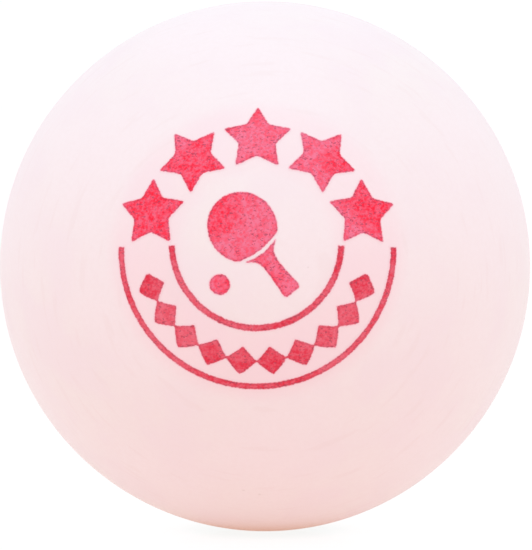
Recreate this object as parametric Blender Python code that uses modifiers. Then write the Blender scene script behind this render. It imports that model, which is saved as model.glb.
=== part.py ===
"""Table tennis ball: two moulded half shells lapped at the seam, the weld bead inside, and a printed mark.

Metres, +Z up. The origin is the centre of the ball. The seam lies in the XZ plane, so the front shell's
pole points along -Y and the rear shell's along +Y. The mark is printed on the front shell near its pole.
"""

import math

import bmesh
import bpy
from mathutils import Vector

# The ball
BALL_DIAMETER = 0.0402
WALL = 0.00047
RIM_WALL = 0.00090  # the wall at the seam
RIM_REACH = 0.0020  # the rim keeps its bore this far from the seam
TAPER_END = 0.0032  # and has run out into the plain wall here
LIP_LENGTH = 0.0008  # how far the front shell's lip passes the seam
JOINT_GAP = 0.00003  # the glue line
BEAD_WIDTH = 0.0016  # the weld bead, over the joint's inner edge
BEAD_HEIGHT = 0.0003
BEAD_EDGE = 0.00004
SIDES = 60  # facets around the seam
RINGS = 15  # facets from a pole to the seam

# The printed mark, measured along the ball's surface from the mark's centre
PRINT_RISE = 6.55  # degrees that the centre lies above the front pole
PRINT_TURN = 1.8  # degrees that it lies to the left of it
INK_LIFT = 0.00002
INK_THICKNESS = 0.00005
INK_FACET = 0.0010  # longest side of a facet inside a filled shape
STAR_COUNT = 5
STAR_RADIUS = 0.00265
STAR_WAIST = 0.53  # inner radius over outer radius
STAR_ORBIT = 0.00820
STAR_SPAN = 142.0  # degrees from the first star to the last
ARC_STROKE = 0.00046
ARC_TOP = 0.00035  # how far above the mark's centre the arcs end
OUTER_ARC_ORBIT = 0.01016
INNER_ARC_ORBIT = 0.00612
INNER_ARC_RISE = 0.00040  # its own centre, above the mark's
CHAIN_ORBIT = 0.00820
CHAIN_SPAN = 156.0
CHAIN_COUNT = 10  # lozenges, tip to tip
LOZENGE_WIDTH = 0.00210
LOZENGE_NECK = 0.00012
BAT_PLACE = (-0.0010, 0.0015)  # centre of the blade
BAT_TILT = -52.0
BLADE_LENGTH = 0.0052
BLADE_WIDTH = 0.0049
RUBBER_END = 0.0018  # from the blade's centre towards the handle
RUBBER_BULGE = 0.00028
RUBBER_GAP = 0.00030
HANDLE = (  # distance from the blade's centre, half width
    (0.00236, 0.00104),
    (0.00273, 0.00070),
    (0.00315, 0.00057),
    (0.00378, 0.00055),
    (0.00483, 0.00061),
    (0.00578, 0.00070),
    (0.00590, 0.00057),
)
DOT_PLACE = (-0.0026, -0.0026)
DOT_RADIUS = 0.00075

SHARP_ANGLE = math.radians(30)
MERGE = 0.000001

BALL_RADIUS = BALL_DIAMETER / 2
RIM_BORE = BALL_RADIUS - RIM_WALL
LAP_RADIUS = BALL_RADIUS - RIM_WALL / 2


def new_collection(name):
    collection = bpy.data.collections.new(name)
    bpy.context.scene.collection.children.link(collection)
    return collection


def principled(name, colour, roughness):
    material = bpy.data.materials.new(name)
    material.use_nodes = True
    shader = material.node_tree.nodes["Principled BSDF"]
    shader.inputs["Base Color"].default_value = (*colour, 1.0)
    shader.inputs["Roughness"].default_value = roughness
    shader.inputs["Metallic"].default_value = 0.0
    return material


def add_part(name, mesh, material, collection):
    mesh.materials.append(material)
    part = bpy.data.objects.new(name, mesh)
    collection.objects.link(part)
    return part


def apply_modifiers(part):
    """Gives the part the mesh that its modifiers make, smooth between its sharp edges."""
    graph = bpy.context.evaluated_depsgraph_get()
    part.data = bpy.data.meshes.new_from_object(part.evaluated_get(graph))
    part.modifiers.clear()
    part.data.shade_smooth()
    part.data.set_sharp_from_angle(angle=SHARP_ANGLE)


# ---- Shells and bead: profiles of (radius, height) that run down their outer side, turned about Z ----


def turned(name, profile, material, collection):
    edges = [(i, i + 1) for i in range(len(profile) - 1)]
    if profile[0][0] > 0:  # a ring's profile is a closed loop, and a shell's ends on the axis
        edges.append((len(profile) - 1, 0))
    mesh = bpy.data.meshes.new(name)
    mesh.from_pydata([(radius, 0.0, height) for radius, height in profile], edges, [])
    part = add_part(name, mesh, material, collection)
    screw = part.modifiers.new("Turn", "SCREW")
    screw.steps = SIDES
    screw.render_steps = SIDES
    screw.use_merge_vertices = True
    screw.merge_threshold = MERGE
    apply_modifiers(part)
    return part


def arc_from_pole(radius, height):
    """Points on a circle about the origin, from the axis down to this height."""
    angle = math.acos(height / radius)
    turns = [angle * step / RINGS for step in range(RINGS + 1)]
    return [(radius * math.sin(turn), radius * math.cos(turn)) for turn in turns]


def shell_profile(joint):
    """The outer surface, then the joint's own points, then up the rim and its taper to the inside's pole."""
    outside = arc_from_pole(BALL_RADIUS, JOINT_GAP / 2)
    inside = arc_from_pole(BALL_RADIUS - WALL, TAPER_END)
    return outside + joint + [(RIM_BORE, RIM_REACH)] + inside[::-1]


def front_joint():
    """A lip that reaches past the seam, inside the rear shell's rim."""
    radius = LAP_RADIUS - JOINT_GAP
    return [(radius, JOINT_GAP / 2), (radius, -LIP_LENGTH), (RIM_BORE, -LIP_LENGTH)]


def rear_joint():
    """A step in the rim that takes the front shell's lip."""
    floor = LIP_LENGTH + JOINT_GAP
    return [(LAP_RADIUS, JOINT_GAP / 2), (LAP_RADIUS, floor), (RIM_BORE, floor)]


def bead_profile():
    """A low crowned ring against the rim's bore."""
    back = RIM_BORE - JOINT_GAP
    profile = [(back, BEAD_WIDTH / 2), (back, -BEAD_WIDTH / 2)]
    steps = 6
    for step in range(steps + 1):
        along = 2 * step / steps - 1
        height = BEAD_EDGE + (BEAD_HEIGHT - BEAD_EDGE) * (1 - along**2)
        profile.append((back - height, along * BEAD_WIDTH / 2))
    return profile


def build_shells(plastic, weld, collection):
    front = turned("front_half_shell", shell_profile(front_joint()), plastic, collection)
    front.rotation_euler.x = math.radians(90)
    rear = turned("rear_half_shell", shell_profile(rear_joint()), plastic, collection)
    rear.rotation_euler.x = math.radians(-90)
    bead = turned("seam_bead", bead_profile(), weld, collection)
    bead.rotation_euler.x = math.radians(90)
    bead.location.y = LIP_LENGTH


# ---- The mark: flat shapes, X to the right and Y up, laid on the ball around its +Z pole ----


def polar(radius, bearing, centre=(0.0, 0.0)):
    """The point at this distance and bearing, in degrees from X towards Y."""
    turn = math.radians(bearing)
    return centre[0] + radius * math.cos(turn), centre[1] + radius * math.sin(turn)


def on_ball(flat):
    """Where a flat point comes to lie when the shape is wrapped round the ball from its pole."""
    radius = BALL_RADIUS + INK_LIFT
    reach = flat.length
    if reach == 0:
        return Vector((0.0, 0.0, radius))
    across = radius * math.sin(reach / BALL_RADIUS) / reach
    return Vector((flat.x * across, flat.y * across, radius * math.cos(reach / BALL_RADIUS)))


def printed(name, bm, ink, collection, frame):
    """Wraps the flat mesh round the ball and gives it the ink's thickness."""
    bmesh.ops.remove_doubles(bm, verts=bm.verts, dist=5 * MERGE)
    for vert in bm.verts:
        vert.co = on_ball(vert.co)
    bm.normal_update()
    mesh = bpy.data.meshes.new(name)
    bm.to_mesh(mesh)
    bm.free()
    part = add_part(name, mesh, ink, collection)
    part.parent = frame
    solidify = part.modifiers.new("Ink", "SOLIDIFY")
    solidify.thickness = INK_THICKNESS
    solidify.offset = 1.0
    apply_modifiers(part)
    return part


def filled(outline):
    """A flat face inside the outline, cut into small squares so that it can bend."""
    bm = bmesh.new()
    bm.faces.new([bm.verts.new((x, y, 0.0)) for x, y in outline])
    for axis in (Vector((1, 0, 0)), Vector((0, 1, 0))):
        reaches = [vert.co.dot(axis) / INK_FACET for vert in bm.verts]
        for step in range(math.ceil(min(reaches)), math.floor(max(reaches)) + 1):
            geometry = bm.verts[:] + bm.edges[:] + bm.faces[:]
            place = axis * step * INK_FACET
            bmesh.ops.bisect_plane(bm, geom=geometry, dist=MERGE, plane_co=place, plane_no=axis)
    return bm


def ribbon(path, widths):
    """A flat strip along the path, as wide at each of its points as the widths say."""
    bm = bmesh.new()
    rungs = []
    for before, (x, y), after, width in zip(path[:1] + path, path, path[1:] + path[-1:], widths):
        along = Vector((after[0] - before[0], after[1] - before[1], 0.0)).normalized()
        side = Vector((-along.y, along.x, 0.0)) * width / 2
        middle = Vector((x, y, 0.0))
        rungs.append((bm.verts.new(middle + side), bm.verts.new(middle - side)))
    for (left, right), (next_left, next_right) in zip(rungs, rungs[1:]):
        bm.faces.new((left, right, next_right, next_left))
    return bm


def star_outline():
    points = []
    for step in range(10):
        radius = STAR_RADIUS * (STAR_WAIST if step % 2 else 1.0)
        points.append(polar(radius, 90 + 36 * step, centre=(0.0, STAR_ORBIT)))
    return points


def dot_outline():
    steps = 20
    return [polar(DOT_RADIUS, 360 * step / steps, centre=DOT_PLACE) for step in range(steps)]


def path_below(orbit, span, steps, rise=0.0):
    """Points on an arc about the mark's centre, or this far above it, on the arc's lower side."""
    bearings = [270 + span * (step / steps - 0.5) for step in range(steps + 1)]
    return [polar(orbit, bearing, centre=(0.0, rise)) for bearing in bearings]


def thin_arc(orbit, rise=0.0):
    span = 180 + 2 * math.degrees(math.asin((ARC_TOP - rise) / orbit))
    path = path_below(orbit, span, steps=48, rise=rise)
    return ribbon(path, [ARC_STROKE] * len(path))


def lozenge_chain():
    path = path_below(CHAIN_ORBIT, CHAIN_SPAN, steps=2 * CHAIN_COUNT)
    return ribbon(path, [LOZENGE_NECK, LOZENGE_WIDTH] * CHAIN_COUNT + [LOZENGE_NECK])


def bat_points(points):
    """Turns points given along and across the bat into the mark's own."""
    tilt = math.radians(BAT_TILT)
    placed = []
    for along, across in points:
        x = BAT_PLACE[0] + along * math.cos(tilt) - across * math.sin(tilt)
        y = BAT_PLACE[1] + along * math.sin(tilt) + across * math.cos(tilt)
        placed.append((x, y))
    return placed


def blade_half_width(along):
    return BLADE_WIDTH / 2 * math.sqrt(1 - (2 * along / BLADE_LENGTH) ** 2)


def curved_cut(along):
    """The line where the rubber ends, or the handle starts, bulging towards the handle."""
    steps = 8
    half = blade_half_width(along)
    shares = [2 * step / steps - 1 for step in range(steps + 1)]
    return [(along + RUBBER_BULGE * (1 - share**2), share * half) for share in shares]


def rubber_outline():
    steps = 30
    start = math.acos(2 * RUBBER_END / BLADE_LENGTH)
    blade = []
    for step in range(1, steps):
        turn = start + (math.tau - 2 * start) * step / steps
        blade.append((BLADE_LENGTH / 2 * math.cos(turn), BLADE_WIDTH / 2 * math.sin(turn)))
    return bat_points(curved_cut(RUBBER_END) + blade)


def handle_outline():
    far_side = list(HANDLE)
    near_side = [(along, -across) for along, across in HANDLE]
    return bat_points(near_side + far_side[::-1] + curved_cut(RUBBER_END + RUBBER_GAP)[::-1])


def build_mark(ink, collection):
    frame = bpy.data.objects.new("mark_frame", None)
    frame.rotation_euler = (math.radians(90 - PRINT_RISE), 0.0, math.radians(-PRINT_TURN))
    collection.objects.link(frame)
    shapes = {
        "print_outer_arc": thin_arc(OUTER_ARC_ORBIT),
        "print_inner_arc": thin_arc(INNER_ARC_ORBIT, INNER_ARC_RISE),
        "print_lozenge_chain": lozenge_chain(),
        "print_bat_rubber": filled(rubber_outline()),
        "print_bat_handle": filled(handle_outline()),
        "print_ball_dot": filled(dot_outline()),
    }
    for name, bm in shapes.items():
        printed(name, bm, ink, collection, frame)
    for number in range(STAR_COUNT):
        star = printed(f"print_star_{number + 1}", filled(star_outline()), ink, collection, frame)
        share = number / (STAR_COUNT - 1)
        star.rotation_euler.z = math.radians(STAR_SPAN * (0.5 - share))


def main():
    for obj in list(bpy.data.objects):
        bpy.data.objects.remove(obj)
    collection = new_collection("table_tennis_ball")
    plastic = principled("ball_plastic", (0.96, 0.83, 0.84), 0.45)
    weld = principled("weld_plastic", (0.93, 0.78, 0.79), 0.35)
    ink = principled("print_ink", (0.90, 0.07, 0.14), 0.50)
    build_shells(plastic, weld, collection)
    build_mark(ink, collection)


main()
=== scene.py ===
"""Looks of a printed table tennis ball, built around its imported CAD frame.

Metres, in the CAD's frame: the origin is the ball's centre, +Z is up and the printed mark faces -Y.
The half shells and the printed shapes are made again here with a finer surface. The weld bead inside keeps
its CAD mesh. Every material is procedural.
"""

import math

import bmesh
import bpy
from mathutils import Euler, Matrix, Vector, kdtree, noise


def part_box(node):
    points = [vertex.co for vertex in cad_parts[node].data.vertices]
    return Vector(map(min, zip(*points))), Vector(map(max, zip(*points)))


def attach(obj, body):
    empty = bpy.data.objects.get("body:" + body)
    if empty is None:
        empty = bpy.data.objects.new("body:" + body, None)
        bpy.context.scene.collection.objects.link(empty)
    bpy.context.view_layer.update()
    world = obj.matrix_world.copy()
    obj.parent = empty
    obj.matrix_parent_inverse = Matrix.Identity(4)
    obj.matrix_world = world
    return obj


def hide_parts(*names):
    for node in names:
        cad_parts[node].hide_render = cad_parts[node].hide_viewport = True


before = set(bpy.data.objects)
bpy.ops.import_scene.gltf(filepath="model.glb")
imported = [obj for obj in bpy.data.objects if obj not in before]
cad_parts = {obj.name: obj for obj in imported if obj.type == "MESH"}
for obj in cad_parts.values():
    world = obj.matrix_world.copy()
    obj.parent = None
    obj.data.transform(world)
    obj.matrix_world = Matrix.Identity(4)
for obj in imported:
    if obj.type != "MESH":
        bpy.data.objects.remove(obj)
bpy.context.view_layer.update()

# ---- Sizes that the frame holds ----

BALL_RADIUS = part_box("front_half_shell")[1].x
LIP_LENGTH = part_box("front_half_shell")[1].y
JOINT_GAP = 2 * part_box("rear_half_shell")[0].y
BEAD_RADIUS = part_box("seam_bead")[1].x
RIM_BORE = BEAD_RADIUS + JOINT_GAP
LAP_RADIUS = (BALL_RADIUS + RIM_BORE) / 2

# ---- Shells ----

WALL = 0.00047
RIM_REACH = 0.0020  # the thick rim keeps its bore this far from the seam
TAPER_END = 0.0032  # and has run out into the plain wall here
SEAM_SLIT = 0.000012  # the weld closes the joint's gap to this at the surface
SEAM_CHAMFER = 0.00004
SHELL_SIDES = 256
SHARP_ANGLE = 30.0  # degrees from which a surface's edges stay sharp
SAME_POINT = 0.000001  # points nearer than this are one
OUTER_RINGS = 72
INNER_RINGS = 24

DIRT_PLACES = ((-0.00157, -0.01234, -0.01578), (-0.00039, -0.01199, -0.01613))  # two specks low in front
DIRT_RADIUS = 0.00018

# ---- The printed mark, measured along the ball's surface from the mark's centre ----

PRINT_RISE = 6.55  # degrees that the centre lies above the front pole
PRINT_TURN = 1.8  # degrees that it lies to the left of it
INK_LIFT = 0.000003
INK_THICKNESS = 0.000012
INK_FACET = 0.0001  # longest side of a facet inside a filled shape
INK_FEATHER = 0.0001  # the edge over which the ink thins out to nothing, half of it outside the outline
INK_GLOW_REACH = 0.00012  # how far outside its outline the ink's painted glow still tints the plastic
SHADE_RING_EDGES = (0.0050, 0.0066, 0.0100, 0.0118)  # where the painted shade in the ring around the mark starts, is full and is gone
SHADE_HEIGHTS = (0.0, 0.006)  # above the ball's centre
SHADE_SHARES = (0.40, 0.22)  # how strong the painted shade is at those heights, stronger lower down
OUTLINE_STEP = 0.00007
BAND_CELLS = 8  # facets across an arc or the chain
CORNER_PASSES = 8  # rounds of smoothing that an outline's corners get
WOBBLES = ((0.00060, 0.000024), (0.00020, 0.000018))  # length and height of an edge's waves

STAR_COUNT = 5
STAR_POINTS = 5
STAR_RADIUS = 0.00265
STAR_WAIST = 0.53  # inner radius over outer radius
STAR_ORBIT = 0.00820
STAR_SPAN = 142.0  # degrees from the first star to the last
ARC_STROKE = 0.00046
ARC_TOP = 0.00035  # how far above the mark's centre the arcs end
OUTER_ARC_ORBIT = 0.01016
INNER_ARC_ORBIT = 0.00612
INNER_ARC_RISE = 0.00040  # its own centre, above the mark's
CHAIN_ORBIT = 0.00820
CHAIN_SPAN = 156.0
CHAIN_COUNT = 10  # lozenges, tip to tip
LOZENGE_WIDTH = 0.00210
LOZENGE_NECK = 0.00012
LOZENGE_ROUNDING = 0.12  # how blunt its side corners are, as a share of its half length
BAT_PLACE = (-0.0010, 0.0015)  # centre of the blade
BAT_TILT = -52.0
BLADE_LENGTH = 0.0052
BLADE_WIDTH = 0.0049
RUBBER_END = 0.0018  # from the blade's centre towards the handle
RUBBER_BULGE = 0.00028
RUBBER_GAP = 0.00030
HANDLE = (  # distance from the blade's centre, half width
    (0.00236, 0.00104),
    (0.00273, 0.00070),
    (0.00315, 0.00057),
    (0.00378, 0.00055),
    (0.00483, 0.00061),
    (0.00578, 0.00070),
    (0.00590, 0.00057),
)
DOT_PLACE = (-0.0026, -0.0026)
DOT_RADIUS = 0.00075

# ---- Colours, in linear light ----

PLASTIC_PINK = (0.936, 0.776, 0.796)
PLASTIC_CREAM = (0.938, 0.802, 0.792)
PLASTIC_LILAC = (0.950, 0.800, 0.812)
PLASTIC_GRAIN = (0.928, 0.765, 0.770)
# painted shade: a darker, pinker ring around the mark, strongest below it
RING_PAINTED_SHADE = (0.985, 0.63, 0.68)
SCUFF = (0.90, 0.72, 0.72)
DIRT = (0.66, 0.50, 0.47)
WELD_BAND = (0.92, 0.74, 0.74)
SEAM_LINE = (0.84, 0.64, 0.63)
BEAD_PALE = (0.93, 0.78, 0.79)
BEAD_DEEP = (0.86, 0.68, 0.68)
INK_PAINTED_GLOW = (0.96, 0.50, 0.58)  # painted glow: light scattered in the plastic beside the ink, reddened by it
FULL_INK = ((0.98, 0.003, 0.036), (0.92, 0.175, 0.285), (0.40, 0.040, 0.085))  # thick, thin, dark specks
LINE_INK = ((0.78, 0.012, 0.046), (0.86, 0.145, 0.205), (0.40, 0.050, 0.085))

# ---- Patterns in the surfaces: spots and reliefs in metres, strengths as shares ----

WARM_PATCH = 0.0045
COOL_PATCH = 0.009
PLASTIC_GRAIN_SPOT = 0.00035
PLASTIC_GRAIN_SHARE = 0.35
SCUFF_SPOT = 0.004
SCUFF_TURN = (20, 35, 50)
SCUFF_SCALE = (1.0, 9.0, 1.0)  # narrow along one axis, so a scuff is a streak
SCUFF_SHARE = 0.25
SPECK_SPACING = 0.0030
SPECK_RADIUS = 0.00009
SPECK_CORE = 0.6  # share of a speck's radius inside which it has its full colour
SPECK_CHANCE = 0.12  # share of the places for a speck that hold one
SPECK_SHARE = 0.25
DIRT_SHARE = 0.35
SEAM_LINE_EDGES = (0.00014, 0.00003)  # how far from the seam its line starts, and is full
SEAM_LINE_SHARE = 0.6
WELD_BAND_EDGES = (0.0016, 0.0006)
WELD_BAND_SHARE = 0.25
PLASTIC_ROUGHNESS = (0.46, 0.56)
SCUFF_ROUGHNESS = 0.06  # added to the plastic's
PLASTIC_RELIEF = 0.000004
PLASTIC_IOR = 1.5
BEAD_ROUGHNESS = (0.25, 0.42)
BEAD_RELIEF = 0.00003
INK_PATCH = 0.0055
INK_PATCH_SHARE = 0.44
INK_MOTTLE = 0.00055
INK_MOTTLE_SHARE = 0.30
INK_GRAIN = 0.00020
INK_GRAIN_SHARE = 0.36
INK_RIM_EDGES = (0.00021, 0.00003)  # how far inside the outline the ink starts to darken, and is darkest
INK_RIM_SHARE = 0.22
INK_FLECK = 0.00021
INK_FLECK_TURN = (0, 30, 0)
INK_FLECK_SCALE = (1.0, 1.0, 1.8)
INK_FLECK_GAIN = 0.055  # raises the flecks' pattern near the outline, so that more of them show
INK_FLECK_SHARE = 0.75
INK_SPECK_SPACING = 0.00036
INK_SPECK_RADIUS = 0.00010
INK_SPECK_CHANCES = (0.12, 0.40)  # away from the outline, and near it
INK_SPECK_SHARE = 0.6
INK_RAGGEDNESS = 0.00003
INK_GLOW_SHARE = 0.7
INK_ROUGHNESS = (0.46, 0.60)
INK_RELIEF = 0.000005

# ---- Studio ----

CAMERA_DISTANCE = 0.30
CAMERA_ELEVATION = 3.0
CAMERA_AIM = Vector((0.000076, 0.0, -0.000676))  # from the ball's centre
CAMERA_LENS = 258.4  # mm, on a 36 mm sensor
DOME_COLOUR = (1.012, 1.078, 1.124)
KEY_ELEVATION = 60.0
KEY_DISTANCE = 0.50
KEY_SIZE = 0.35
KEY_COLOUR = (0.51, 0.95, 1.0)
KEY_POWER = 0.233  # watts
FLOOR_RADIUS = 3.0
FLOOR_SIDES = 96
FLOOR_GLOW = 0.90
FLOOR_MATTE = 0.10
FLOOR_GLOSS = 0.03
FLOOR_ROUGHNESS = 0.12
CONTACT_SHADE = (0.935, 0.965, 0.96)  # painted shadow: what is left of the glow where the ball touches
CONTACT_REACH = (0.0035, 0.0078)  # how far from the contact the shade is full, and gone
BOUNCE_FAR = (0.545, 0.330, 0.265)  # what the floor throws up at the ball, far before it
BOUNCE_FRONT = (0.585, 0.430, 0.380)  # just before it
BOUNCE_BACK = (0.602, 0.587, 0.546)  # and behind it
FAR_EDGES = (-0.045, -0.020)  # where along Y each has turned into the next
BACK_EDGES = (-0.03, 0.02)
BOUNCE_NEAR = (0.49, 0.33, 0.245)  # and close around the contact
NEAR_REACH = (0.0045, 0.0095)
BOUNCE_MATTE = 0.40


# ---- Node trees ----


class Recipe:
    """One material's node tree, built by short calls that each return an output socket."""

    def __init__(self, name):
        self.material = bpy.data.materials.new(name)
        self.material.use_nodes = True
        self.tree = self.material.node_tree
        self.shader = self.tree.nodes["Principled BSDF"]
        self.place = self.node("ShaderNodeTexCoord").outputs["Object"]

    def node(self, kind, inputs=None, **settings):
        made = self.tree.nodes.new(kind)
        for key, value in settings.items():
            setattr(made, key, value)
        for key, value in (inputs or {}).items():
            self.feed(made.inputs[key], value)
        return made

    def feed(self, socket, value):
        if isinstance(value, bpy.types.NodeSocket):
            self.tree.links.new(value, socket)
        else:
            socket.default_value = value

    def set(self, **inputs):
        """Sets the shader's own sockets, named with _ for each space."""
        for key, value in inputs.items():
            self.feed(self.shader.inputs[key.replace("_", " ")], value)

    def noise(self, spot, detail=2.0, place=None, distortion=0.0):
        """A cloudy pattern, from about 0.25 to 0.75, whose spots are about this many metres across."""
        pattern = {"Scale": 1 / spot, "Detail": detail, "Distortion": distortion}
        return self.node("ShaderNodeTexNoise", {"Vector": place or self.place, **pattern}).outputs["Fac"]

    def stretched(self, turn, scale):
        """The place, turned by these degrees and scaled along each axis, for patterns that run one way."""
        turned = Vector(math.radians(angle) for angle in turn)
        inputs = {"Vector": self.place, "Rotation": turned, "Scale": scale}
        return self.node("ShaderNodeMapping", inputs).outputs[0]

    def along(self, axis):
        """The place's X, Y or Z."""
        return self.node("ShaderNodeSeparateXYZ", {0: self.place}).outputs[axis]

    def measure(self, operation, other=(0.0, 0.0, 0.0)):
        """The LENGTH of the place, or its DISTANCE or DOT_PRODUCT with another."""
        inputs = {0: self.place, 1: other}
        return self.node("ShaderNodeVectorMath", inputs, operation=operation).outputs["Value"]

    def spread(self, value, low, high, to_low=0.0, to_high=1.0):
        """Maps low..high to to_low..to_high, and holds the ends."""
        inputs = {"Value": value, "From Min": low, "From Max": high, "To Min": to_low, "To Max": to_high}
        return self.node("ShaderNodeMapRange", inputs, interpolation_type="SMOOTHSTEP").outputs[0]

    def maths(self, operation, first, second=0.0):
        return self.node("ShaderNodeMath", {0: first, 1: second}, operation=operation).outputs[0]

    def mix(self, share, first, second):
        """Colours are 3 numbers or a socket. The share is the second's."""
        sides = [(*side, 1.0) if isinstance(side, tuple) else side for side in (first, second)]
        inputs = {0: share, 6: sides[0], 7: sides[1]}
        return self.node("ShaderNodeMix", inputs, data_type="RGBA").outputs[2]

    def specks(self, spacing, radius, share):
        """1 in small round spots. The share says how many of the places for a spot hold one."""
        cells = self.node("ShaderNodeTexVoronoi", {"Vector": self.place, "Scale": 1 / spacing})
        reach = radius / spacing
        spot = self.spread(cells.outputs["Distance"], reach, SPECK_CORE * reach)
        chosen = self.node("ShaderNodeSeparateColor", {"Color": cells.outputs["Color"]}).outputs[0]
        return self.maths("MULTIPLY", spot, self.maths("LESS_THAN", chosen, share))

    def bump(self, height, distance):
        return self.node("ShaderNodeBump", {"Height": height, "Distance": distance}).outputs[0]


def painted_shade_ring(recipe):
    """1 in the ring around the mark's centre where its shapes lie close together, and 0 away from it: the
    mask of a painted shade.
    """
    centre = mark_place(0) @ Vector((0.0, 0.0, 1.0))
    cosine = recipe.maths("DIVIDE", recipe.measure("DOT_PRODUCT", centre), BALL_RADIUS)
    reach = recipe.maths("MULTIPLY", recipe.maths("ARCCOSINE", cosine), BALL_RADIUS)
    inner_start, inner_end, outer_start, outer_end = SHADE_RING_EDGES
    beyond_inner = recipe.spread(reach, inner_start, inner_end)
    within_outer = recipe.spread(reach, outer_end, outer_start)
    return recipe.maths("MULTIPLY", beyond_inner, within_outer)


def plastic_colour(recipe):
    """Pink-white ABS, with patches that lean to beige and to lilac, fine grain and a painted shade around the
    mark.
    """
    warmth = recipe.spread(recipe.noise(WARM_PATCH), 0.36, 0.64)
    colour = recipe.mix(warmth, PLASTIC_PINK, PLASTIC_CREAM)
    coolness = recipe.spread(recipe.noise(COOL_PATCH, detail=3.0), 0.35, 0.65)
    colour = recipe.mix(coolness, colour, PLASTIC_LILAC)
    grain = recipe.spread(recipe.noise(PLASTIC_GRAIN_SPOT), 0.3, 0.7, 0.0, PLASTIC_GRAIN_SHARE)
    colour = recipe.mix(grain, colour, PLASTIC_GRAIN)
    # painted shade in the ring around the mark, stronger towards the bottom
    strength = recipe.spread(recipe.along("Z"), *SHADE_HEIGHTS, *SHADE_SHARES)
    return recipe.mix(recipe.maths("MULTIPLY", painted_shade_ring(recipe), strength), colour, RING_PAINTED_SHADE)


def ball_plastic():
    """Matte moulded plastic with a few faint specks and scuffs, and the seam's line."""
    recipe = Recipe("ball_plastic")
    colour = plastic_colour(recipe)
    streaks = recipe.noise(SCUFF_SPOT, detail=1.0, place=recipe.stretched(SCUFF_TURN, SCUFF_SCALE))
    scuffs = recipe.spread(streaks, 0.62, 0.72)
    colour = recipe.mix(recipe.maths("MULTIPLY", scuffs, SCUFF_SHARE), colour, SCUFF)
    specks = recipe.specks(SPECK_SPACING, SPECK_RADIUS, SPECK_CHANCE)
    colour = recipe.mix(recipe.maths("MULTIPLY", specks, SPECK_SHARE), colour, DIRT)
    for place in DIRT_PLACES:
        spot = recipe.spread(recipe.measure("DISTANCE", place), DIRT_RADIUS, 0.0, 0.0, DIRT_SHARE)
        colour = recipe.mix(spot, colour, DIRT)
    from_seam = recipe.maths("ABSOLUTE", recipe.along("Y"))
    line = recipe.spread(from_seam, *SEAM_LINE_EDGES, 0.0, SEAM_LINE_SHARE)
    weld = recipe.spread(from_seam, *WELD_BAND_EDGES, 0.0, WELD_BAND_SHARE)
    colour = recipe.mix(weld, colour, WELD_BAND)
    colour = recipe.mix(line, colour, SEAM_LINE)
    rough = recipe.spread(recipe.noise(0.0015), 0.3, 0.7, *PLASTIC_ROUGHNESS)
    rough = recipe.maths("ADD", rough, recipe.maths("MULTIPLY", scuffs, SCUFF_ROUGHNESS))
    height = recipe.mix(0.35, recipe.noise(0.00016), recipe.noise(0.0012))
    recipe.set(Base_Color=colour, Roughness=rough, Normal=recipe.bump(height, PLASTIC_RELIEF))
    recipe.set(IOR=PLASTIC_IOR, Specular_IOR_Level=0.5)
    return recipe.material


def weld_plastic():
    """Plastic that the solvent has melted and smoothed: glossier and a little deeper in colour."""
    recipe = Recipe("weld_plastic")
    flow = recipe.noise(0.0008, 3.0, distortion=0.6)
    colour = recipe.mix(recipe.spread(flow, 0.3, 0.7), BEAD_DEEP, BEAD_PALE)
    rough = recipe.spread(recipe.noise(0.0005), 0.3, 0.7, *BEAD_ROUGHNESS)
    recipe.set(Base_Color=colour, Roughness=rough, Normal=recipe.bump(flow, BEAD_RELIEF), IOR=PLASTIC_IOR)
    return recipe.material


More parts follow.
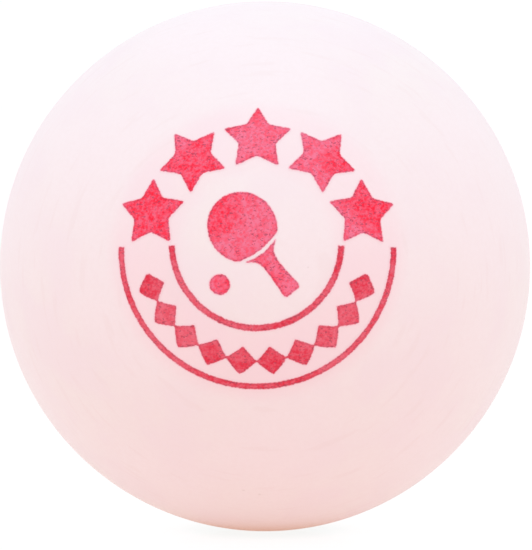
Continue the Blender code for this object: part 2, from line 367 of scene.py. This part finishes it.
def print_ink(name, thick, thin, dark):
    """Pad-printed ink, in its colours where it lies thick, where it lies thin and in its dark specks. It is
    darker near its edge, and past that the plastic carries a painted pink glow of light scattered under it.
    """
    recipe = Recipe(name)
    depth = recipe.node("ShaderNodeAttribute", attribute_name="depth").outputs["Fac"]
    patches = recipe.spread(recipe.noise(INK_PATCH, detail=1.0), 0.41, 0.60, 0.0, INK_PATCH_SHARE)
    mottle = recipe.spread(recipe.noise(INK_MOTTLE), 0.38, 0.62, 0.0, INK_MOTTLE_SHARE)
    grain = recipe.spread(recipe.noise(INK_GRAIN, detail=1.0), 0.38, 0.62, 0.0, INK_GRAIN_SHARE)
    thinness = recipe.maths("ADD", recipe.maths("ADD", patches, mottle), grain)
    colour = recipe.mix(thinness, thick, thin)
    near_edge = recipe.spread(depth, *(INK_GLOW_REACH + inside for inside in INK_RIM_EDGES))
    colour = recipe.mix(recipe.maths("MULTIPLY", near_edge, INK_RIM_SHARE), colour, dark)
    slanted = recipe.stretched(INK_FLECK_TURN, INK_FLECK_SCALE)
    flecks = recipe.noise(INK_FLECK, place=slanted, distortion=0.8)
    flecks = recipe.maths("ADD", flecks, recipe.maths("MULTIPLY", near_edge, INK_FLECK_GAIN))
    flecks = recipe.spread(flecks, 0.565, 0.69, 0.0, INK_FLECK_SHARE)
    colour = recipe.mix(flecks, colour, dark)
    chance = recipe.spread(near_edge, 0.0, 1.0, *INK_SPECK_CHANCES)
    specks = recipe.specks(INK_SPECK_SPACING, INK_SPECK_RADIUS, chance)
    colour = recipe.mix(recipe.maths("MULTIPLY", specks, INK_SPECK_SHARE), colour, dark)
    ragged = recipe.spread(recipe.noise(0.00016), 0.25, 0.75, -INK_RAGGEDNESS, INK_RAGGEDNESS)
    feather = (INK_GLOW_REACH - INK_FEATHER / 2, INK_GLOW_REACH + INK_FEATHER / 2)
    cover = recipe.spread(recipe.maths("ADD", depth, ragged), *feather)
    # painted glow: the pink of light scattered in the plastic just past the ink's outline
    glow_mask = recipe.spread(depth, 0.0, INK_GLOW_REACH, 0.0, INK_GLOW_SHARE)
    glowing_plastic = recipe.mix(glow_mask, plastic_colour(recipe), INK_PAINTED_GLOW)
    colour = recipe.mix(cover, glowing_plastic, colour)
    rough = recipe.spread(recipe.noise(0.0004), 0.3, 0.7, *INK_ROUGHNESS)
    height = recipe.noise(0.00018, detail=3.0)
    recipe.set(Base_Color=colour, Roughness=rough, Normal=recipe.bump(height, INK_RELIEF))
    recipe.set(IOR=PLASTIC_IOR, Specular_IOR_Level=0.3)
    return recipe.material


# ---- Shells: profiles of (radius, height) that run down their outer side, turned about Z ----


def add_piece(name, mesh, material, node):
    """Adds a piece that rides on the ball, stands for this CAD node and takes its finish from this slot."""
    mesh.materials.clear()
    mesh.materials.append(material)
    piece = bpy.data.objects.new(name, mesh)
    bpy.context.scene.collection.objects.link(piece)
    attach(piece, "root")
    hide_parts(node)


def shaped(mesh, kind, **settings):
    """The mesh that this modifier makes of it, smooth between its sharp edges."""
    helper = bpy.data.objects.new("helper", mesh)
    bpy.context.scene.collection.objects.link(helper)
    modifier = helper.modifiers.new("Shape", kind)
    for key, value in settings.items():
        setattr(modifier, key, value)
    graph = bpy.context.evaluated_depsgraph_get()
    made = bpy.data.meshes.new_from_object(helper.evaluated_get(graph))
    bpy.data.objects.remove(helper)
    made.shade_smooth()
    made.set_sharp_from_angle(angle=math.radians(SHARP_ANGLE))
    return made


def turned(name, profile):
    """The surface that a profile sweeps round the Z axis."""
    mesh = bpy.data.meshes.new(name)
    edges = [(step, step + 1) for step in range(len(profile) - 1)]
    mesh.from_pydata([(radius, 0.0, height) for radius, height in profile], edges, [])
    turn = {"steps": SHELL_SIDES, "render_steps": SHELL_SIDES}
    return shaped(mesh, "SCREW", use_merge_vertices=True, merge_threshold=SAME_POINT, **turn)


def arc_from_pole(radius, height, rings):
    """Points on a circle about the origin, from the axis down to this height."""
    angle = math.acos(height / radius)
    turns = [angle * step / rings for step in range(rings + 1)]
    return [(radius * math.sin(turn), radius * math.cos(turn)) for turn in turns]


def shell_profile(joint):
    """The outer surface and its chamfer, the joint, then up the rim and its taper to the inside's pole."""
    seam = SEAM_SLIT / 2
    outside = arc_from_pole(BALL_RADIUS, seam + SEAM_CHAMFER, OUTER_RINGS)
    chamfer = [(BALL_RADIUS - SEAM_CHAMFER, seam)]
    inside = arc_from_pole(BALL_RADIUS - WALL, TAPER_END, INNER_RINGS)
    return outside + chamfer + joint + [(RIM_BORE, RIM_REACH)] + inside[::-1]


def build_shells(plastic):
    seam = SEAM_SLIT / 2
    lip = LAP_RADIUS - JOINT_GAP
    floor = LIP_LENGTH + JOINT_GAP
    front_joint = [(lip, seam), (lip, -LIP_LENGTH), (RIM_BORE, -LIP_LENGTH)]
    rear_joint = [(LAP_RADIUS, seam), (LAP_RADIUS, floor), (RIM_BORE, floor)]
    for side, joint, turn in (("front", front_joint, 90), ("rear", rear_joint, -90)):
        mesh = turned(f"{side}_shell_surface", shell_profile(joint))
        mesh.transform(Matrix.Rotation(math.radians(turn), 4, "X"))
        add_piece(f"{side}_shell_surface", mesh, plastic, f"{side}_half_shell")


# ---- The mark: flat shapes, X to the right and Y up, laid on the ball around its +Z pole ----


def polar(radius, bearing, centre=(0.0, 0.0)):
    """The point at this distance and bearing, in degrees from X towards Y."""
    turn = math.radians(bearing)
    return centre[0] + radius * math.cos(turn), centre[1] + radius * math.sin(turn)


def on_ball(flat):
    """Where a flat point comes to lie when the shape is wrapped round the ball from its pole."""
    radius = BALL_RADIUS + INK_LIFT
    reach = flat.length
    if reach == 0:
        return Vector((0.0, 0.0, radius))
    across = radius * math.sin(reach / BALL_RADIUS) / reach
    return Vector((flat.x * across, flat.y * across, radius * math.cos(reach / BALL_RADIUS)))


def wobble(x, y, seed):
    """How far an edge strays at this flat point."""
    return sum(height * noise.noise(Vector((x / length, y / length, seed))) for length, height in WOBBLES)


def rough_edged(outline, seed):
    """A closed outline with its corners rounded and its edge slightly ragged."""
    points = []
    for start, end in zip(outline, outline[1:] + outline[:1]):
        steps = max(1, round(math.dist(start, end) / OUTLINE_STEP))
        points += [Vector(start).lerp(Vector(end), step / steps) for step in range(steps)]
    for _ in range(CORNER_PASSES):
        neighbours = zip(points[-1:] + points[:-1], points, points[1:] + points[:1])
        points = [(before + 2 * here + after) / 4 for before, here, after in neighbours]
    leftward = sum(here.cross(after) for here, after in zip(points, points[1:] + points[:1])) > 0
    strayed = []
    for before, here, after in zip(points[-1:] + points[:-1], points, points[1:] + points[:1]):
        along = (after - before).normalized()
        outward = Vector((along.y, -along.x)) if leftward else Vector((-along.y, along.x))
        strayed.append(here + outward * (INK_GLOW_REACH + wobble(here.x, here.y, seed)))
    return strayed


def filled(outline, seed):
    """A flat face inside the outline, cut into small squares so that it can bend."""
    bm = bmesh.new()
    bm.faces.new([bm.verts.new((point.x, point.y, 0.0)) for point in rough_edged(outline, seed)])
    for axis in (Vector((1, 0, 0)), Vector((0, 1, 0))):
        reaches = [vert.co.dot(axis) / INK_FACET for vert in bm.verts]
        for step in range(math.ceil(min(reaches)), math.floor(max(reaches)) + 1):
            geometry = bm.verts[:] + bm.edges[:] + bm.faces[:]
            place = axis * step * INK_FACET
            bmesh.ops.bisect_plane(bm, geom=geometry, dist=SAME_POINT, plane_co=place, plane_no=axis)
    return bm


def band_below(orbit, span, half_width, seed, rise=0.0):
    """A strip along the lower side of a circle about the mark's centre, or this far above it. half_width says
    how wide it is at a share of its way.
    """
    steps = round(orbit * math.radians(span) / OUTLINE_STEP)
    bm = bmesh.new()
    rungs = []
    for step in range(steps + 1):
        share = step / steps
        bearing = 270 + span * (share - 0.5)
        half = half_width(share) + INK_GLOW_REACH
        reaches = []
        for side in (1, -1):
            edge = polar(orbit + side * half, bearing)
            reaches.append(orbit + side * half + wobble(*edge, seed + side))
        outer, inner = reaches
        places = [outer + (inner - outer) * cell / BAND_CELLS for cell in range(BAND_CELLS + 1)]
        rungs.append([bm.verts.new((*polar(place, bearing, centre=(0.0, rise)), 0.0)) for place in places])
    for rung, next_rung in zip(rungs, rungs[1:]):
        for cell in range(BAND_CELLS):
            bm.faces.new((rung[cell + 1], rung[cell], next_rung[cell], next_rung[cell + 1]))
    return bm


def thin_arc(orbit, seed, rise=0.0):
    span = 180 + 2 * math.degrees(math.asin((ARC_TOP - rise) / orbit))
    return band_below(orbit, span, lambda share: ARC_STROKE / 2, seed, rise)


def chain_half_width(share):
    """Swells from a neck to a lozenge's full width and back, once for each lozenge."""
    across = math.hypot(2 * (share * CHAIN_COUNT % 1) - 1, LOZENGE_ROUNDING) - LOZENGE_ROUNDING
    across /= math.hypot(1, LOZENGE_ROUNDING) - LOZENGE_ROUNDING
    return (LOZENGE_WIDTH + (LOZENGE_NECK - LOZENGE_WIDTH) * across) / 2


def star_outline():
    corners = 2 * STAR_POINTS
    points = []
    for step in range(corners):
        radius = STAR_RADIUS * (STAR_WAIST if step % 2 else 1.0)
        points.append(polar(radius, 90 + 360 * step / corners, centre=(0.0, STAR_ORBIT)))
    return points


def dot_outline():
    """The small ball beside the bat."""
    steps = 40
    return [polar(DOT_RADIUS, 360 * step / steps, centre=DOT_PLACE) for step in range(steps)]


def bat_points(points):
    """Turns points given along and across the bat into the mark's own."""
    tilt = math.radians(BAT_TILT)
    placed = []
    for along, across in points:
        x = BAT_PLACE[0] + along * math.cos(tilt) - across * math.sin(tilt)
        y = BAT_PLACE[1] + along * math.sin(tilt) + across * math.cos(tilt)
        placed.append((x, y))
    return placed


def blade_half_width(along):
    return BLADE_WIDTH / 2 * math.sqrt(1 - (2 * along / BLADE_LENGTH) ** 2)


def curved_cut(along):
    """The line where the rubber ends, or the handle starts, bulging towards the handle."""
    steps = 12
    half = blade_half_width(along)
    shares = [2 * step / steps - 1 for step in range(steps + 1)]
    return [(along + RUBBER_BULGE * (1 - share**2), share * half) for share in shares]


def rubber_outline():
    steps = 90
    start = math.acos(2 * RUBBER_END / BLADE_LENGTH)
    blade = []
    for step in range(1, steps):
        turn = start + (math.tau - 2 * start) * step / steps
        blade.append((BLADE_LENGTH / 2 * math.cos(turn), BLADE_WIDTH / 2 * math.sin(turn)))
    return bat_points(curved_cut(RUBBER_END) + blade)


def handle_outline():
    far_side = list(HANDLE)
    near_side = [(along, -across) for along, across in HANDLE]
    return bat_points(near_side + far_side[::-1] + curved_cut(RUBBER_END + RUBBER_GAP)[::-1])


def store_depth(bm):
    """Gives each point of a flat mesh its distance to the mesh's edge, which the ink's material reads."""
    edge = [vert.co for vert in bm.verts if vert.is_boundary]
    nearest = kdtree.KDTree(len(edge))
    for index, place in enumerate(edge):
        nearest.insert(place, index)
    nearest.balance()
    depth = bm.verts.layers.float.new("depth")
    for vert in bm.verts:
        vert[depth] = nearest.find(vert.co)[2]


def print_shape(name, bm, ink, turn=0.0):
    """Wraps the flat mesh round the ball, turns it about the mark's centre and makes it as thick as ink."""
    store_depth(bm)
    for vert in bm.verts:
        vert.co = on_ball(vert.co)
    bmesh.ops.transform(bm, matrix=mark_place(turn), verts=bm.verts)
    bm.normal_update()
    mesh = bpy.data.meshes.new(f"ink_{name}")
    bm.to_mesh(mesh)
    bm.free()
    mesh = shaped(mesh, "SOLIDIFY", thickness=INK_THICKNESS, offset=1.0)
    add_piece(f"ink_{name}", mesh, ink, f"print_{name}")


def mark_place(turn):
    """From the mark's own axes, turned by these degrees, to the ball's."""
    tilt = Euler((math.radians(90 - PRINT_RISE), 0.0, math.radians(-PRINT_TURN)))
    return tilt.to_matrix().to_4x4() @ Matrix.Rotation(math.radians(turn), 4, "Z")


def build_mark():
    full = print_ink("print_ink", *FULL_INK)
    line = print_ink("print_ink_line", *LINE_INK)
    print_shape("outer_arc", thin_arc(OUTER_ARC_ORBIT, seed=1), line)
    print_shape("inner_arc", thin_arc(INNER_ARC_ORBIT, seed=4, rise=INNER_ARC_RISE), line)
    print_shape("lozenge_chain", band_below(CHAIN_ORBIT, CHAIN_SPAN, chain_half_width, seed=7), line)
    print_shape("bat_rubber", filled(rubber_outline(), seed=10), full)
    print_shape("bat_handle", filled(handle_outline(), seed=11), full)
    print_shape("ball_dot", filled(dot_outline(), seed=12), full)
    for number in range(STAR_COUNT):
        share = number / (STAR_COUNT - 1)
        turn = STAR_SPAN * (0.5 - share)
        print_shape(f"star_{number + 1}", filled(star_outline(), seed=20 + number), full, turn)


# ---- Studio ----


def grey(value):
    return (value, value, value, 1.0)


def build_floor():
    """A white acrylic table, lit from below: white to the camera but for a painted shadow round the contact,
    and a warm bounce to the ball.
    """
    bpy.ops.mesh.primitive_circle_add(vertices=FLOOR_SIDES, radius=FLOOR_RADIUS, fill_type="NGON")
    floor = bpy.context.object
    floor.name = "floor"
    floor.location.z = -BALL_RADIUS
    recipe = Recipe("floor")
    reach = recipe.measure("LENGTH")
    shade = recipe.mix(recipe.spread(reach, *CONTACT_REACH), CONTACT_SHADE, (1.0, 1.0, 1.0))
    glow = recipe.node("ShaderNodeEmission", {"Color": shade, "Strength": FLOOR_GLOW}).outputs[0]
    matte = recipe.node("ShaderNodeBsdfDiffuse", {"Color": grey(FLOOR_MATTE)}).outputs[0]
    polish = {"Color": grey(FLOOR_GLOSS), "Roughness": FLOOR_ROUGHNESS}
    gloss = recipe.node("ShaderNodeBsdfGlossy", polish).outputs[0]
    seen = recipe.node("ShaderNodeAddShader", {0: glow, 1: matte}).outputs[0]
    seen = recipe.node("ShaderNodeAddShader", {0: seen, 1: gloss}).outputs[0]
    along_y = recipe.along("Y")
    colour = recipe.mix(recipe.spread(along_y, *FAR_EDGES), BOUNCE_FAR, BOUNCE_FRONT)
    colour = recipe.mix(recipe.spread(along_y, *BACK_EDGES), colour, BOUNCE_BACK)
    colour = recipe.mix(recipe.spread(reach, *NEAR_REACH), BOUNCE_NEAR, colour)
    bounce = recipe.node("ShaderNodeEmission", {"Color": colour}).outputs[0]
    dull = recipe.node("ShaderNodeBsdfDiffuse", {"Color": grey(BOUNCE_MATTE)}).outputs[0]
    thrown = recipe.node("ShaderNodeAddShader", {0: bounce, 1: dull}).outputs[0]
    camera_ray = recipe.node("ShaderNodeLightPath").outputs["Is Camera Ray"]
    surface = recipe.node("ShaderNodeMixShader", {0: camera_ray, 1: thrown, 2: seen}).outputs[0]
    recipe.tree.nodes.remove(recipe.shader)
    recipe.feed(recipe.tree.nodes["Material Output"].inputs["Surface"], surface)
    floor.data.materials.append(recipe.material)


def build_lights():
    world = bpy.data.worlds.new("studio")
    bpy.context.scene.world = world
    world.use_nodes = True
    world.node_tree.nodes["Background"].inputs["Color"].default_value = (*DOME_COLOUR, 1.0)
    key = bpy.data.lights.new("key", "AREA")
    key.shape = "DISK"
    key.size = KEY_SIZE
    key.color = KEY_COLOUR
    key.energy = KEY_POWER
    lamp = bpy.data.objects.new("key", key)
    bpy.context.scene.collection.objects.link(lamp)
    tilt = math.radians(KEY_ELEVATION)
    lamp.location = Vector((0.0, -math.cos(tilt), math.sin(tilt))) * KEY_DISTANCE
    lamp.rotation_euler.x = math.radians(90) - tilt


def build_camera():
    camera = bpy.data.cameras.new("camera")
    camera.lens = CAMERA_LENS
    camera.clip_start = 0.01
    camera.clip_end = 10.0
    stand = bpy.data.objects.new("camera", camera)
    bpy.context.scene.collection.objects.link(stand)
    tilt = math.radians(CAMERA_ELEVATION)
    back = Vector((0.0, -math.cos(tilt), math.sin(tilt)))
    stand.location = CAMERA_AIM + back * CAMERA_DISTANCE
    stand.rotation_euler.x = math.radians(90 - CAMERA_ELEVATION)
    bpy.context.scene.camera = stand


def dress_bead():
    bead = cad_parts["seam_bead"]
    bead.data.materials.clear()
    bead.data.materials.append(weld_plastic())


build_shells(ball_plastic())
build_mark()
dress_bead()
build_floor()
build_lights()
build_camera()
bpy.context.scene.view_settings.view_transform = "Standard"
